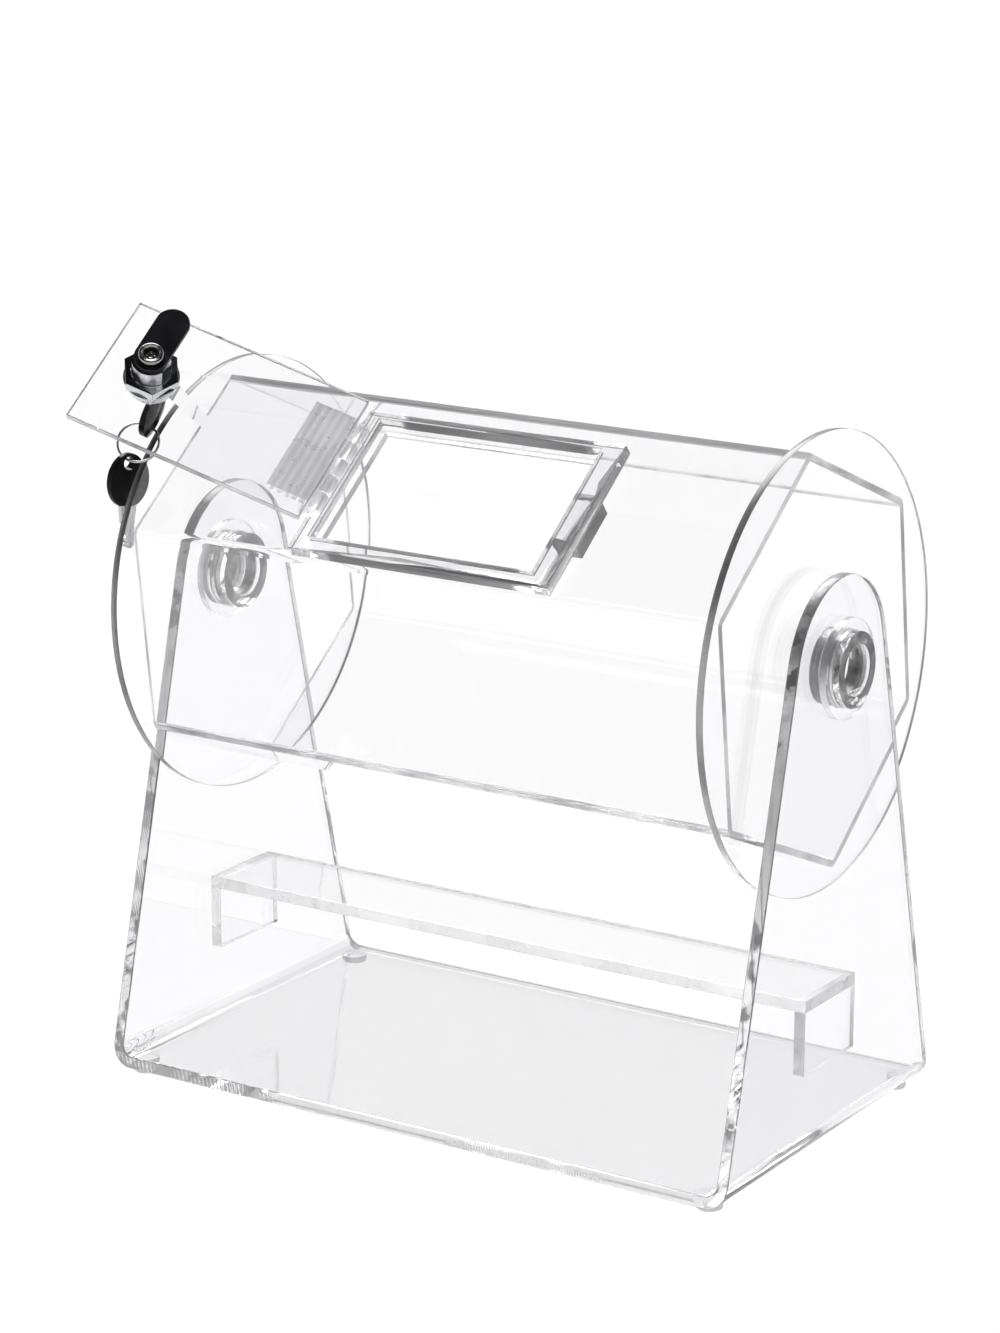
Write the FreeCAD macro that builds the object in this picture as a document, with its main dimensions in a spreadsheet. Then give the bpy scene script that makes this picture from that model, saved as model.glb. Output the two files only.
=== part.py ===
import FreeCAD, Part
import math
import os
import re
import Sketcher

# Clear raffle drum: a six-sided drum turns on two hub tubes between the side panels of a
# folded stand. One wall of the drum has a framed opening with a hinged, lockable door.
#
# Frame of the part: X runs along the drum's axis, -Y is the front, Z is up, and z = 0 is the
# underside of the base sheet. Lengths are in millimetres and angles in degrees.

SIZES = {
    # Stand: one sheet folded into a U, with a brace between the panels.
    "stand_width": 300,
    "stand_depth": 175,
    "stand_sheet": 5,
    "bend_inside": 5,
    "axis_height": 200,
    "panel_top_radius": 37.3,
    "foot_radius": 5.5,
    "foot_depth": 3,
    "foot_rounding": 0.8,
    "foot_inset_across": 12,
    "foot_inset_along": 9.5,
    "brace_width": 42,
    "brace_sheet": 5,
    "brace_top": 67,
    "tab_sheet": 5,
    "tab_drop": 27,
    # Drum: a folded tube closed by two discs; the corner turn is between two of its corners.
    "corner_turn": 60,
    "rest_turn": 37.3,
    "drum_radius": 87.8,
    "drum_sheet": 3,
    "drum_fold": 2,
    "disc_radius": 93.3,
    "disc_sheet": 3,
    "panel_gap": 5,
    # Hubs: tubes glued to the discs, which turn in the panels' holes.
    "hub_radius": 15.5,
    "hub_bore": 10.5,
    "hub_running": 0.08,
    "hub_stub": 3,
    "flange_radius": 20.5,
    "flange_sheet": 3,
    "flange_gap": 0.3,
    "glue_gap": 0.05,
    # Door opening: a raised frame round a window, whose edge is the ledge under the door. Its
    # length is a share of the stand's width, so that the open door's keys clear the end disc.
    "opening_share": 0.35267,
    "opening_width": 64.3,
    "opening_across": 1.4,
    "opening_forward": 4.15,
    "frame_strip_hinge": 6,
    "frame_strip_lock": 10.2,
    "frame_strip_front": 7.2,
    "frame_strip_rear": 3.3,
    "frame_height": 5,
    "ledge": 2.7,
    "strike_across": 12.4,
    "strike_width": 24,
    "strike_height": 8,
    "strike_reach": 2,
    # Door, drawn shut and stored open.
    "door_sheet": 3,
    "door_play": 0.5,
    "door_lift": 0.2,
    "open_angle": 155,
    "lock_setback": 22,
    # Hinge: five knuckles on one pin.
    "knuckle_radius": 2.9,
    "knuckle_length": 9,
    "knuckle_gap": 0.3,
    "knuckle_count": 5,
    "pin_radius": 0.8,
    "pin_running": 0.06,
    "pin_into_opening": 1.5,
    "leaf_sheet": 1.5,
    "leaf_reach": 8,
    "door_leaf_reach": 21,
    "door_leaf_sheet": 3.3,
    "rib_pitch": 3.6,
    "rib_groove": 1.2,
    "rib_depth": 0.8,
    "rib_count": 4,
    # Cam lock.
    "barrel_radius": 8,
    "barrel_flats": 14,
    "barrel_length": 13.2,
    "barrel_play": 0.2,
    "rose_radius": 9.8,
    "rose_height": 2.5,
    "washer_radius": 11.5,
    "washer_sheet": 1.3,
    "nut_flats": 21.4,
    "nut_height": 4.2,
    "plug_radius": 5.5,
    "plug_running": 0.05,
    "plug_recess": 0.3,
    "cam_gap": 0.2,
    "cam_width": 14,
    "cam_reach": 25.5,
    "cam_sheet": 2,
    "cam_square": 6,
    "cam_play": 0.05,
    "screw_radius": 5.3,
    "screw_height": 2.6,
    "screw_dish": 1.1,
    # Keys: an oval lens moulded on a flat blade, with a hole for the ring. The plug has a round
    # well for the blade.
    "head_length": 23,
    "head_width": 19,
    "head_thickness": 4.5,
    "head_rim": 1.8,
    "key_hole": 2.8,
    "key_hole_inset": 4.1,
    "key_stand": 34,
    "blade_width": 7,
    "blade_sheet": 2,
    "blade_depth": 9,
    "blade_root": 6,
    "key_well": 3.8,
    "well_play": 0.1,
    "ring_radius": 8.55,
    "wire_radius": 0.525,
    "ring_seat": 0.9,
    "ring_yaw": 9.7,
    "ring_dip": 25.4,
    "ring_lean": -43.9,
    "spare_slide": -3,
    "spare_yaw": -12.1,
    "spare_lean": 4,
}

# Values that follow from the sizes above.
FORMULAS = {
    "panel_inside": "stand_width / 2 - stand_sheet",
    "panel_outside": "stand_width / 2",
    "disc_outside": "panel_inside - panel_gap",
    "tube_half": "disc_outside - disc_sheet",
    "hub_end": "panel_outside + flange_gap + flange_sheet + hub_stub",
    "wall_outside": "drum_radius * cos(corner_turn / 2)",
    "wall_inside": "wall_outside - drum_sheet",
    "drum_inner_radius": "wall_inside / cos(corner_turn / 2)",
    "opening_length": "stand_width * opening_share",
    "opening_hinge": "opening_across - opening_length / 2",
    "opening_lock": "opening_across + opening_length / 2",
    "opening_front": "0 - opening_forward - opening_width / 2",
    "opening_rear": "opening_width / 2 - opening_forward",
    "frame_top": "wall_outside + frame_height",
    "pin_across": "opening_hinge - pin_into_opening",
    "pin_height": "frame_top + knuckle_radius + knuckle_gap",
    "door_hinge_edge": "pin_into_opening + door_play",
    "door_free_edge": "pin_into_opening + opening_length - door_play",
    "door_half": "opening_width / 2 - door_play",
    "door_inside": "wall_outside + door_lift - pin_height",
    "door_outside": "door_inside + door_sheet",
    "lock_across": "door_free_edge - lock_setback",
    "hinge_length": "knuckle_length * knuckle_count",
    "cam_start": "barrel_length + cam_gap",
    "cam_end": "cam_start + cam_sheet",
    "plug_start": "plug_recess - door_sheet - rose_height",
    "blade_tip": "key_stand + plug_start + blade_depth",
    "head_middle": "head_length / 2 - key_hole_inset",
    "head_end": "head_length - key_hole_inset",
    "head_dome": "(head_thickness - head_rim) / 2",
    "head_sphere": "((head_length / 2) ^ 2 + head_dome ^ 2) / (2 * head_dome)",
    "wire_slack": "key_hole - wire_radius - ring_seat",
}


def about(axis, angle):
    """A turn about the X, Y or Z axis."""
    way = {"X": "1; 0; 0", "Y": "0; 1; 0", "Z": "0; 0; 1"}[axis]
    return f"rotation(vector({way}); {angle})"


def move(across, along, up, turn=about("Z", "0")):
    """A shift, with a turn at its end."""
    return f"placement(vector({across}; {along}; {up}); {turn})"


# Frames: each piece is drawn in the frame of what carries it. The drum's frame has Z out of
# the door's wall, the hinge's and the door's lie on the pin, the lock's points into the drum
# and a key's lies on the hole in its head. The ring hangs in the hole of the key in the lock,
# leans on the rim of the end disc, and carries the spare key, which hangs plumb.
STAND = move("0", "0", "0")
DRUM = move("0", "0", "axis_height", about("X", "rest_turn"))
HINGE = DRUM + " * " + move("pin_across", "0 - opening_forward", "pin_height")
DOOR = HINGE + " * " + move("0", "0", "0", about("Y", "0 - open_angle"))
LOCK = DOOR + " * " + move("lock_across", "0", "door_inside", about("X", "180"))
KEY = LOCK + " * " + move("0", "0", "0 - key_stand")
UPRIGHT = " * ".join([about("X", "0 - 180"), about("Y", "open_angle"), about("X", "0 - rest_turn")])
RING_TURN = " * ".join([about("Z", "ring_yaw"), about("Y", "ring_dip"), about("X", "ring_lean")])
RING = " * ".join([KEY, move("0", "0", "0", UPRIGHT), move("0", "0", "0", RING_TURN),
                   move("0", "0", "0 - wire_slack")])
RING_UPRIGHT = " * ".join([about("Y", "0 - spare_slide"), about("X", "0 - ring_lean"),
                           about("Y", "0 - ring_dip"), about("Z", "0 - ring_yaw")])
SPARE_TURN = " * ".join([about("Z", "spare_yaw"), about("Y", "spare_lean"), about("X", "180")])
SPARE = " * ".join([RING, move("0", "0", "0 - ring_radius", about("Y", "spare_slide")),
                    move("0", "0", "0 - ring_radius", RING_UPRIGHT),
                    move("0", "0", "0", SPARE_TURN), move("0", "0", "wire_slack")])

FULL_TURN = 360
SAME_PLACE = 0.01

doc = FreeCAD.newDocument("RaffleDrum")
sheet = doc.addObject("Spreadsheet::Sheet", "Sizes")
parts = []
spots = {}


def fill_sheet():
    """One row for each driving size: its name, its number and its alias."""
    for row, (name, number) in enumerate(SIZES.items(), start=1):
        sheet.set(f"A{row}", name)
        sheet.set(f"B{row}", str(number))
        sheet.setAlias(f"B{row}", name)
    doc.recompute()


def formula(text):
    """The text as an expression, with its words turned into cells of the sheet."""
    def cell(found):
        word = found.group()
        if word in SIZES:
            return "Sizes." + word
        if word in FORMULAS:
            return "(" + formula(FORMULAS[word]) + ")"
        return word
    return re.sub(r"[a-z_]+", cell, text)


def value(text):
    """The number that a formula gives now."""
    return float(sheet.evalExpression(formula(text)))


def bind(item, formulas):
    """Ties properties of an object to formulas."""
    for name, text in formulas.items():
        item.setExpression(name, formula(text))


def finish(item, label, frame):
    """Names a sub-part and places it in its frame, after any place of its own in that frame."""
    item.Label = label
    if item.Name in spots:
        frame = frame + " * " + spots[item.Name]
    item.setExpression("Placement", formula(frame))
    parts.append(item)
    return item


def place(item, spot):
    """Moves a primitive within its frame and remembers the move."""
    spots[item.Name] = spot
    item.setExpression("Placement", formula(spot))


# Sketches


def sketch_on(body, role, offset="0"):
    """A sketch on one of the body's origin planes, moved along the plane's normal."""
    sketch = body.newObject("Sketcher::SketchObject", body.Name + "_sketch")
    plane = [item for item in body.Origin.OriginFeatures if item.Role == role][0]
    sketch.AttachmentSupport = [(plane, "")]
    sketch.MapMode = "FlatFace"
    sketch.setExpression("AttachmentOffset.Base.z", formula(offset))
    return sketch


def tie(sketch, kind, line, point, text):
    """Holds one coordinate of a point at a formula's value."""
    rule = Sketcher.Constraint(kind, -1, 1, line, point, value(text))
    number = sketch.addConstraint(rule)
    sketch.setExpression(f"Constraints[{number}]", formula(text))


def polygon(sketch, corners):
    """A closed outline of straight lines, with its corners tied to formulas."""
    spots = [FreeCAD.Vector(value(across), value(up), 0) for across, up in corners]
    first = sketch.GeometryCount
    for start, end in zip(spots, spots[1:] + spots[:1]):
        sketch.addGeometry(Part.LineSegment(start, end))
    for index, (across, up) in enumerate(corners):
        following = first + (index + 1) % len(corners)
        sketch.addConstraint(Sketcher.Constraint("Coincident", first + index, 2, following, 1))
        tie(sketch, "DistanceX", first + index, 1, across)
        tie(sketch, "DistanceY", first + index, 1, up)


def rectangle(sketch, left, right, low, high):
    polygon(sketch, [(left, low), (right, low), (right, high), (left, high)])


def circle(sketch, across, up, radius):
    """A circle tied to formulas."""
    centre = FreeCAD.Vector(value(across), value(up), 0)
    upward = FreeCAD.Vector(0, 0, 1)
    line = sketch.addGeometry(Part.Circle(centre, upward, value(radius)))
    tie(sketch, "DistanceX", line, 3, across)
    tie(sketch, "DistanceY", line, 3, up)
    number = sketch.addConstraint(Sketcher.Constraint("Radius", line, value(radius)))
    sketch.setExpression(f"Constraints[{number}]", formula(radius))


# Features of a body


def feature(body, kind, sketch, length, middle=False, backward=False):
    """A pad or a pocket of a sketch, one way or to both sides of its plane."""
    step = body.newObject("PartDesign::" + kind, body.Name + "_" + kind.lower())
    step.Profile = sketch
    step.Midplane = middle
    step.Reversed = backward
    bind(step, {"Length": length})
    body.Tip = step
    doc.recompute()
    return step


def new_body(name):
    return doc.addObject("PartDesign::Body", name)


def round_edges(body, radius, wanted):
    """A fillet on the edges of the body that the test picks by their middle and direction."""
    names = []
    base = body.Tip
    for number, edge in enumerate(base.Shape.Edges, start=1):
        start, end = edge.firstVertex().Point, edge.lastVertex().Point
        if wanted((start + end) / 2, end - start):
            names.append(f"Edge{number}")
    step = body.newObject("PartDesign::Fillet", body.Name + "_fillet")
    step.Base = (base, names)
    bind(step, {"Radius": radius})
    body.Tip = step
    doc.recompute()
    return step


def near(first, second):
    return abs(first - second) < SAME_PLACE


def box(left, right, front, rear, low, high):
    """A block between six formulas."""
    block = doc.addObject("Part::Box", "block")
    bind(block, {
        "Length": f"({right}) - ({left})",
        "Width": f"({rear}) - ({front})",
        "Height": f"({high}) - ({low})",
    })
    place(block, move(left, front, low))
    return block


def bar(radius, length, turn, across="0", along="0", up="0"):
    """A cylinder that starts at a point and runs along the axis that the turn gives."""
    rod = doc.addObject("Part::Cylinder", "rod")
    bind(rod, {"Radius": radius, "Height": length})
    place(rod, move(across, along, up, turn))
    return rod


ALONG_X = about("Y", "90")
ALONG_Y = about("X", "0 - 90")
ALONG_Z = about("Z", "0")


def cut(base, tool):
    result = doc.addObject("Part::Cut", "cut")
    result.Base = base
    result.Tool = tool
    return result


def fuse(pieces):
    result = doc.addObject("Part::MultiFuse", "fuse")
    result.Shapes = pieces
    result.Refine = True
    return result


def common(pieces):
    result = doc.addObject("Part::MultiCommon", "common")
    result.Shapes = pieces
    return result


# Stand


def make_stand_sheet():
    """The folded U, its panels narrowed to round tops with holes for the hubs."""
    body = new_body("stand_sheet")
    profile = sketch_on(body, "XZ_Plane")
    top = "axis_height + panel_top_radius"
    polygon(profile, [
        ("0 - panel_outside", "0"),
        ("panel_outside", "0"),
        ("panel_outside", top),
        ("panel_inside", top),
        ("panel_inside", "stand_sheet"),
        ("0 - panel_inside", "stand_sheet"),
        ("0 - panel_inside", top),
        ("0 - panel_outside", top),
    ])
    feature(body, "Pad", profile, "stand_depth", middle=True)
    floor = value("stand_sheet")
    round_edges(body, "bend_inside", lambda spot, way: near(way.x, 0) and near(way.z, 0)
                and near(spot.z, floor))
    round_edges(body, "bend_inside + stand_sheet", lambda spot, way: near(way.x, 0)
                and near(way.z, 0) and near(spot.z, 0))
    trim = sketch_on(body, "YZ_Plane")
    add_panel_outline(trim)
    feature(body, "Pocket", trim, "stand_width * 2", middle=True)
    holes = sketch_on(body, "YZ_Plane")
    circle(holes, "0", "axis_height", "hub_radius + hub_running")
    feature(body, "Pocket", holes, "stand_width * 2", middle=True)
    finish(body, "stand_sheet", STAND)


def add_panel_outline(sketch):
    """A wide rectangle round the panel's outline: two slopes that meet a round top."""
    rectangle(sketch, "0 - stand_depth", "stand_depth", "0 - stand_sheet", "axis_height * 2")
    half, height = value("stand_depth / 2"), value("axis_height")
    radius = value("panel_top_radius")
    foot_left = FreeCAD.Vector(-half, 0, 0)
    foot_right = FreeCAD.Vector(half, 0, 0)
    middle = FreeCAD.Vector(0, height, 0)
    across = FreeCAD.Vector(radius, 0, 0)
    upward = FreeCAD.Vector(0, 0, 1)
    base = sketch.addGeometry(Part.LineSegment(foot_left, foot_right))
    right = sketch.addGeometry(Part.LineSegment(foot_right, middle + across))
    round_top = Part.ArcOfCircle(Part.Circle(middle, upward, radius), 0, math.pi)
    top = sketch.addGeometry(round_top)
    left = sketch.addGeometry(Part.LineSegment(middle - across, foot_left))
    sketch.addConstraint(Sketcher.Constraint("Coincident", base, 2, right, 1))
    sketch.addConstraint(Sketcher.Constraint("Coincident", left, 2, base, 1))
    sketch.addConstraint(Sketcher.Constraint("Tangent", right, 2, top, 1))
    sketch.addConstraint(Sketcher.Constraint("Tangent", top, 2, left, 1))
    tie(sketch, "DistanceX", base, 1, "0 - stand_depth / 2")
    tie(sketch, "DistanceY", base, 1, "0")
    tie(sketch, "DistanceX", base, 2, "stand_depth / 2")
    tie(sketch, "DistanceY", base, 2, "0")
    tie(sketch, "DistanceX", top, 3, "0")
    tie(sketch, "DistanceY", top, 3, "axis_height")
    number = sketch.addConstraint(Sketcher.Constraint("Radius", top, radius))
    sketch.setExpression(f"Constraints[{number}]", formula("panel_top_radius"))


def make_feet():
    """Four soft round feet under the base's corners."""
    feet = []
    for across in ("0 - panel_outside + foot_inset_across", "panel_outside - foot_inset_across"):
        for along in ("0 - stand_depth / 2 + foot_inset_along",
                      "stand_depth / 2 - foot_inset_along"):
            body = new_body("foot")
            disc = sketch_on(body, "XY_Plane")
            circle(disc, across, along, "foot_radius")
            feature(body, "Pad", disc, "foot_depth", backward=True)
            underside = -value("foot_depth")
            round_edges(body, "foot_rounding", lambda spot, way: near(spot.z, underside))
            feet.append(body)
    group = doc.addObject("Part::Compound", "feet")
    group.Links = feet
    finish(group, "feet", STAND)


def make_brace():
    """A strip across the stand, on a tab glued to each panel."""
    half = "brace_width / 2"
    under = "brace_top - brace_sheet"
    strip = box("0 - panel_inside", "panel_inside", "0 - " + half, half, under, "brace_top")
    finish(strip, "brace_bar", STAND)
    for side, left, right in (
        ("left", "0 - panel_inside", "0 - panel_inside + tab_sheet"),
        ("right", "panel_inside - tab_sheet", "panel_inside"),
    ):
        tab = box(left, right, "0 - " + half, half, under + " - tab_drop", under)
        finish(tab, "brace_tab_" + side, STAND)


# Drum


def hexagon(sketch, radius):
    corners = range(round(FULL_TURN / SIZES["corner_turn"]))
    polygon(sketch, [(f"{radius} * cos({corner} * corner_turn)",
                      f"{radius} * sin({corner} * corner_turn)") for corner in corners])


def make_drum_shell():
    """One sheet folded five times and glued edge to edge at the sixth corner."""
    body = new_body("drum_shell")
    outside = sketch_on(body, "YZ_Plane")
    hexagon(outside, "drum_radius")
    feature(body, "Pad", outside, "tube_half * 2", middle=True)
    inside = sketch_on(body, "YZ_Plane")
    hexagon(inside, "drum_inner_radius")
    feature(body, "Pocket", inside, "tube_half * 4", middle=True)
    butt_side = value("drum_radius * sin(corner_turn)")

    def is_fold(spot, way):
        butt = spot.y > 0 and spot.z > butt_side / 2
        return near(way.y, 0) and near(way.z, 0) and not butt

    outer = value("(drum_radius + drum_inner_radius) / 2")
    round_edges(body, "drum_fold", lambda spot, way: is_fold(spot, way)
                and abs(FreeCAD.Vector(0, spot.y, spot.z).Length) < outer)
    round_edges(body, "drum_fold + drum_sheet", lambda spot, way: is_fold(spot, way)
                and abs(FreeCAD.Vector(0, spot.y, spot.z).Length) > outer)
    window = sketch_on(body, "XY_Plane", "wall_outside")
    rectangle(window, "opening_hinge + ledge", "opening_lock - ledge",
              "opening_front + ledge", "opening_rear - ledge")
    feature(body, "Pocket", window, "drum_sheet * 2")
    finish(body, "drum_shell", DRUM)


def make_end(side, turn):
    """A disc that closes the tube, the hub tube glued on it and the ring outside the panel."""
    aim = DRUM + " * " + move("0", "0", "0", about("Z", turn))
    disc = new_body("end_disc")
    rim = sketch_on(disc, "YZ_Plane", "tube_half")
    circle(rim, "0", "0", "disc_radius")
    feature(disc, "Pad", rim, "disc_sheet")
    finish(disc, "end_disc_" + side, aim)
    tube = new_body("hub_tube")
    section = sketch_on(tube, "YZ_Plane", "disc_outside")
    circle(section, "0", "0", "hub_radius")
    circle(section, "0", "0", "hub_bore")
    feature(tube, "Pad", section, "hub_end - disc_outside")
    finish(tube, "hub_tube_" + side, aim)
    ring = new_body("flange_ring")
    section = sketch_on(ring, "YZ_Plane", "panel_outside + flange_gap")
    circle(section, "0", "0", "flange_radius")
    circle(section, "0", "0", "hub_radius + glue_gap")
    feature(ring, "Pad", section, "flange_sheet")
    finish(ring, "flange_ring_" + side, aim)


def make_door_frame():
    """The raised frame round the door opening."""
    body = new_body("door_frame")
    outline = sketch_on(body, "XY_Plane", "wall_outside")
    rectangle(outline, "opening_hinge - frame_strip_hinge", "opening_lock + frame_strip_lock",
              "opening_front - frame_strip_front", "opening_rear + frame_strip_rear")
    rectangle(outline, "opening_hinge", "opening_lock", "opening_front", "opening_rear")
    feature(body, "Pad", outline, "frame_height")
    finish(body, "door_frame", DRUM)


def make_strike_block():
    """The block under the wall, behind which the lock's cam turns."""
    left = "opening_lock - ledge - strike_reach"
    block = box(left, left + " + strike_across",
                "0 - opening_forward - strike_width / 2",
                "strike_width / 2 - opening_forward",
                "wall_inside - strike_height", "wall_inside")
    finish(block, "strike_block", DRUM)


# Hinge, drawn about its pin: X along the shut door, Y along the pin, Z outward


def knuckle(index, radius, margin):
    """One knuckle's cylinder, shortened or lengthened by a margin at each end."""
    start = f"knuckle_length * {index} - hinge_length / 2 + ({margin})"
    length = f"knuckle_length - 2 * ({margin})"
    return bar(radius, length, ALONG_Y, along=start)


def knuckle_span(index, margin):
    start = f"knuckle_length * {index} - hinge_length / 2 + ({margin})"
    return start, f"{start} + knuckle_length - 2 * ({margin})"


def pin_bore():
    return bar("pin_radius + pin_running", "hinge_length * 2", ALONG_Y, along="0 - hinge_length")


def make_hinge_frame_leaf():
    """The leaf on the frame's top with every other knuckle, and room for the rest."""
    low = "0 - knuckle_radius - knuckle_gap"
    high = low + " + leaf_sheet"
    half = "hinge_length / 2"
    pieces = [box("0 - leaf_reach", "0", "0 - " + half, half, low, high)]
    for index in range(0, SIZES["knuckle_count"], 2):
        start, end = knuckle_span(index, "knuckle_gap / 2")
        pieces.append(knuckle(index, "knuckle_radius", "knuckle_gap / 2"))
        pieces.append(box("0 - knuckle_radius", "0", start, end, low, "0"))
    room = [pin_bore()]
    for index in range(1, SIZES["knuckle_count"], 2):
        room.append(knuckle(index, "knuckle_radius + knuckle_gap", "0 - knuckle_gap / 2"))
    leaf = cut(fuse(pieces), fuse(room))
    finish(leaf, "hinge_frame_leaf", HINGE)


def make_hinge_door_leaf():
    """The thick ribbed leaf glued on the door's outside."""
    high = "door_outside + door_leaf_sheet"
    half = "hinge_length / 2"
    edge = "door_hinge_edge"
    pieces = [box(edge, "door_leaf_reach", "0 - " + half, half, "door_outside", high)]
    for index in range(1, SIZES["knuckle_count"], 2):
        start, end = knuckle_span(index, "knuckle_gap / 2")
        pieces.append(knuckle(index, "knuckle_radius", "knuckle_gap / 2"))
        pieces.append(box("0", edge + " + knuckle_radius", start, end, "0 - knuckle_radius", high))
    room = [pin_bore()]
    for index in range(0, SIZES["knuckle_count"], 2):
        room.append(knuckle(index, "knuckle_radius + knuckle_gap", "0 - knuckle_gap / 2"))
    for index in range(SIZES["rib_count"]):
        start = f"door_leaf_reach - rib_pitch * ({index} + 1)"
        room.append(box(start, start + " + rib_groove", "0 - hinge_length", "hinge_length",
                        high + " - rib_depth", high + " + rib_depth"))
    leaf = cut(fuse(pieces), fuse(room))
    finish(leaf, "hinge_door_leaf", DOOR)


def make_hinge_pin():
    pin = bar("pin_radius", "hinge_length", ALONG_Y, along="0 - hinge_length / 2")
    finish(pin, "hinge_pin", HINGE)


# Door and lock; the lock is drawn with Z into the drum from the door's inner face


def flatted(radius, flats, low, high):
    """A round bar with a flat on each side."""
    round_bar = bar(radius, f"({high}) - ({low})", ALONG_Z, up=low)
    slab = box(f"0 - ({flats}) / 2", f"({flats}) / 2", "0 - barrel_radius * 2",
               "barrel_radius * 2", low, high)
    return common([round_bar, slab])


def make_door_plate():
    """The inset door with the lock's hole, drawn shut about the hinge pin."""
    plate = box("door_hinge_edge", "door_free_edge", "0 - door_half", "door_half",
                "door_inside", "door_outside")
    hole = flatted("barrel_radius + barrel_play", "barrel_flats + 2 * barrel_play",
                   "0 - door_sheet", "door_sheet * 2")
    bind(hole, {"Placement.Base.x": "lock_across", "Placement.Base.z": "door_inside"})
    finish(cut(plate, hole), "door_plate", DOOR)


def make_lock_barrel():
    """The lock's case: a round rose outside the door and a flatted barrel through it."""
    rose_low = "0 - door_sheet - rose_height"
    rose = bar("rose_radius", "rose_height", ALONG_Z, up=rose_low)
    barrel = flatted("barrel_radius", "barrel_flats", "0 - door_sheet", "barrel_length")
    bore = bar("plug_radius + plug_running", "barrel_length * 3", ALONG_Z,
               up="0 - barrel_length")
    finish(cut(fuse([rose, barrel]), bore), "lock_barrel", LOCK)


def make_lock_washer():
    washer = bar("washer_radius", "washer_sheet", ALONG_Z)
    hole = flatted("barrel_radius + barrel_play", "barrel_flats + 2 * barrel_play",
                   "0 - washer_sheet", "washer_sheet * 2")
    finish(cut(washer, hole), "lock_washer", LOCK)


def make_lock_nut():
    body = new_body("lock_nut")
    section = sketch_on(body, "XY_Plane", "washer_sheet")
    hexagon(section, "(nut_flats / 2 / cos(corner_turn / 2))")
    circle(section, "0", "0", "barrel_radius + barrel_play / 2")
    feature(body, "Pad", section, "nut_height")
    finish(body, "lock_nut", LOCK)


def square_bar(half, low, high):
    return box(f"0 - ({half})", half, f"0 - ({half})", half, low, high)


def make_lock_plug():
    """The turning plug, with a well for the key in its face and a square end for the cam."""
    length = "barrel_length - (plug_start)"
    round_bar = bar("plug_radius", length, ALONG_Z, up="plug_start")
    square = square_bar("cam_square / 2", "barrel_length", "cam_end")
    well = bar("key_well", "blade_depth + 2 * well_play", ALONG_Z, up="plug_start - well_play")
    finish(cut(fuse([round_bar, square]), well), "lock_plug", LOCK)


def make_lock_cam():
    """The flat tongue on the plug's square end; unlocked, it lies along the hinge line."""
    tip = "cam_reach - cam_width / 2"
    blade = fuse([
        box("0 - cam_width / 2", "cam_width / 2", "0 - (" + tip + ")", "0", "cam_start", "cam_end"),
        bar("cam_width / 2", "cam_sheet", ALONG_Z, up="cam_start"),
        bar("cam_width / 2", "cam_sheet", ALONG_Z, along="0 - (" + tip + ")", up="cam_start"),
    ])
    hole = square_bar("cam_square / 2 + cam_play", "barrel_length", "cam_end + cam_sheet")
    finish(cut(blade, hole), "lock_cam", LOCK)


def make_cam_screw():
    """The dished screw head that holds the cam on the plug."""
    head = bar("screw_radius", "screw_height", ALONG_Z, up="cam_end")
    ball = doc.addObject("Part::Sphere", "ball")
    dish = "((screw_radius ^ 2 + screw_dish ^ 2) / (2 * screw_dish))"
    bind(ball, {"Radius": dish,
                "Placement.Base.z": f"cam_end + screw_height - screw_dish + {dish}"})
    finish(cut(head, ball), "cam_screw", LOCK)


# Keys, drawn about the hole in the head: X along the hole, Z towards the blade's tip


def oval_bar():
    """The head's outline as a bar along X, longer than the head is thick."""
    oval = doc.addObject("Part::Ellipse", "oval")
    bind(oval, {"MajorRadius": "head_length / 2", "MinorRadius": "head_width / 2"})
    place(oval, move("0 - head_thickness", "0", "head_middle", about("Y", "0 - 90")))
    solid = doc.addObject("Part::Extrusion", "oval_bar")
    solid.Base = oval
    solid.DirMode = "Custom"
    solid.Dir = FreeCAD.Vector(1, 0, 0)
    solid.Solid = True
    bind(solid, {"LengthFwd": "head_thickness * 2"})
    return solid


def make_key(prefix, frame):
    """A blade and the lens-shaped head moulded on it."""
    caps = []
    for sign in ("", "0 - "):
        ball = doc.addObject("Part::Sphere", "ball")
        bind(ball, {"Radius": "head_sphere"})
        place(ball, move(f"{sign}(head_sphere - head_thickness / 2)", "0", "head_middle"))
        caps.append(ball)
    root = "head_end - blade_root"
    slot = box("0 - blade_sheet / 2 - glue_gap", "blade_sheet / 2 + glue_gap",
               "0 - blade_width / 2 - glue_gap", "blade_width / 2 + glue_gap",
               root + " - glue_gap", "head_end * 2")
    hole = bar("key_hole", "head_thickness * 2", ALONG_X, across="0 - head_thickness")
    finish(cut(common(caps + [oval_bar()]), fuse([slot, hole])), prefix + "_head", frame)
    blade = box("0 - blade_sheet / 2", "blade_sheet / 2", "0 - blade_width / 2",
                "blade_width / 2", root, "blade_tip")
    finish(blade, prefix + "_blade", frame)


def make_key_ring():
    """A wire ring through the hole of each key."""
    ring = doc.addObject("Part::Torus", "ring")
    bind(ring, {"Radius1": "ring_radius", "Radius2": "wire_radius"})
    place(ring, move("0", "0", "0 - ring_radius", about("X", "90")))
    finish(ring, "key_ring", RING)


def check_model():
    """Stops on a failed object or a sub-part without a sound solid."""
    for item in doc.Objects:
        if {"Invalid", "Error"} & set(item.State):
            raise RuntimeError(f"{item.Name} failed: {item.State}")
    for item in parts:
        if item.Shape.isNull() or not item.Shape.isValid() or not item.Shape.Solids:
            raise RuntimeError(f"{item.Label} has no sound solid")


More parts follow.
